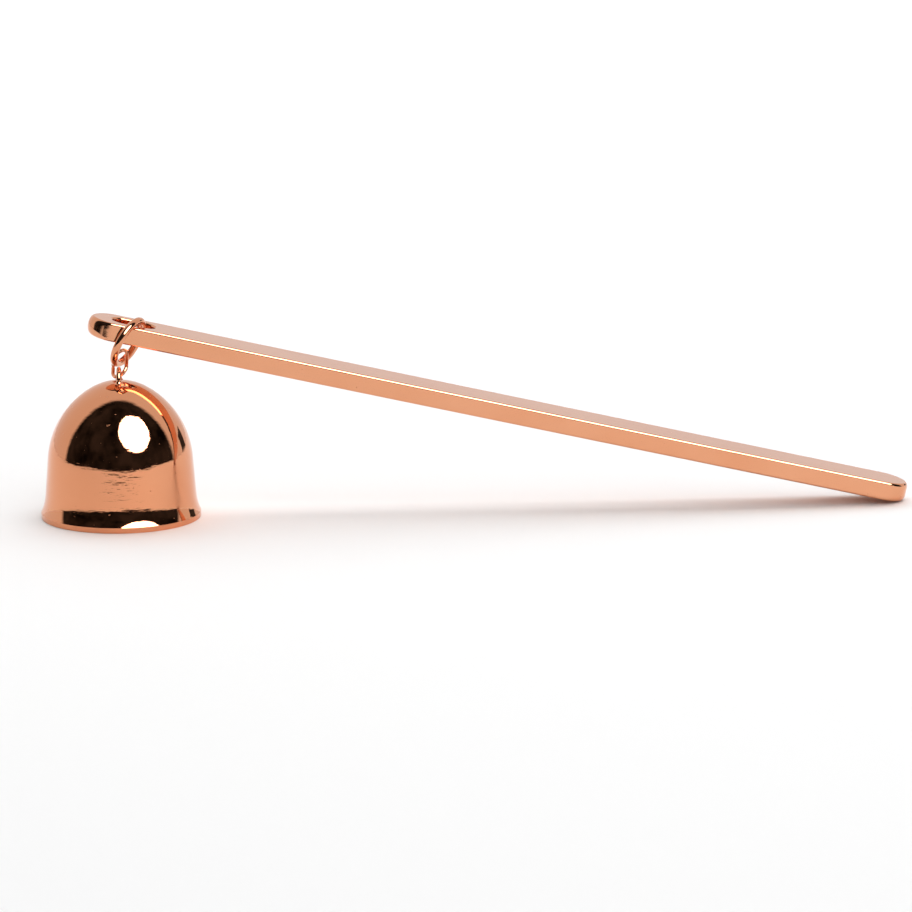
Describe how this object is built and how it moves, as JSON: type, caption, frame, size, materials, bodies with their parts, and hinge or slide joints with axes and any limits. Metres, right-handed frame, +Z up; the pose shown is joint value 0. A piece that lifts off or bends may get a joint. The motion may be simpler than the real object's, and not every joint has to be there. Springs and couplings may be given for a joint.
{
  "type": "candle snuffer",
  "caption": "Long flat handle with a small flared bell hung from its slotted head by rings of wire, lowered over a candle flame to put it out.",
  "frame": {"origin": "middle of the base of the whole part's box, on the surface that the bell's rim and the handle's tail stand on", "axes": "+X along the handle from its head to its tail, +Y across the handle towards the side it lies on, +Z up out of the bell's crown"},
  "size_m": [0.1814, 0.0332, 0.0415],
  "materials": {
    "handle_plating": "mirror-polished rose gold plating on steel",
    "wire_plating": "polished rose gold plating on steel wire",
    "bell_plating": "mirror-polished rose gold plating on thin steel"
  },
  "bodies": {
    "handle": {"handle": "handle_plating"},
    "ring": {"handle_ring": "wire_plating"},
    "link": {"link": "wire_plating"},
    "bell": {"bell": "bell_plating", "bell_eye": "wire_plating"}
  },
  "joints": [
    {"name": "ring_rock", "type": "hinge", "parent": "handle", "child": "ring", "pos_m": [-0.07143, 0.0025, 0.03759], "axis": [0, 1, 0], "range_deg": [-18, 8]},
    {"name": "link_swing", "type": "hinge", "parent": "ring", "child": "link", "pos_m": [-0.07416, 0.0036, 0.03166], "axis": [0.41, 0.9121, 0], "range_deg": [-25, 30]},
    {"name": "bell_swing", "type": "hinge", "parent": "link", "child": "bell", "pos_m": [-0.07409, 0.00039, 0.02959], "axis": [1, 0, 0], "range_deg": [-30, 10]}
  ]
}
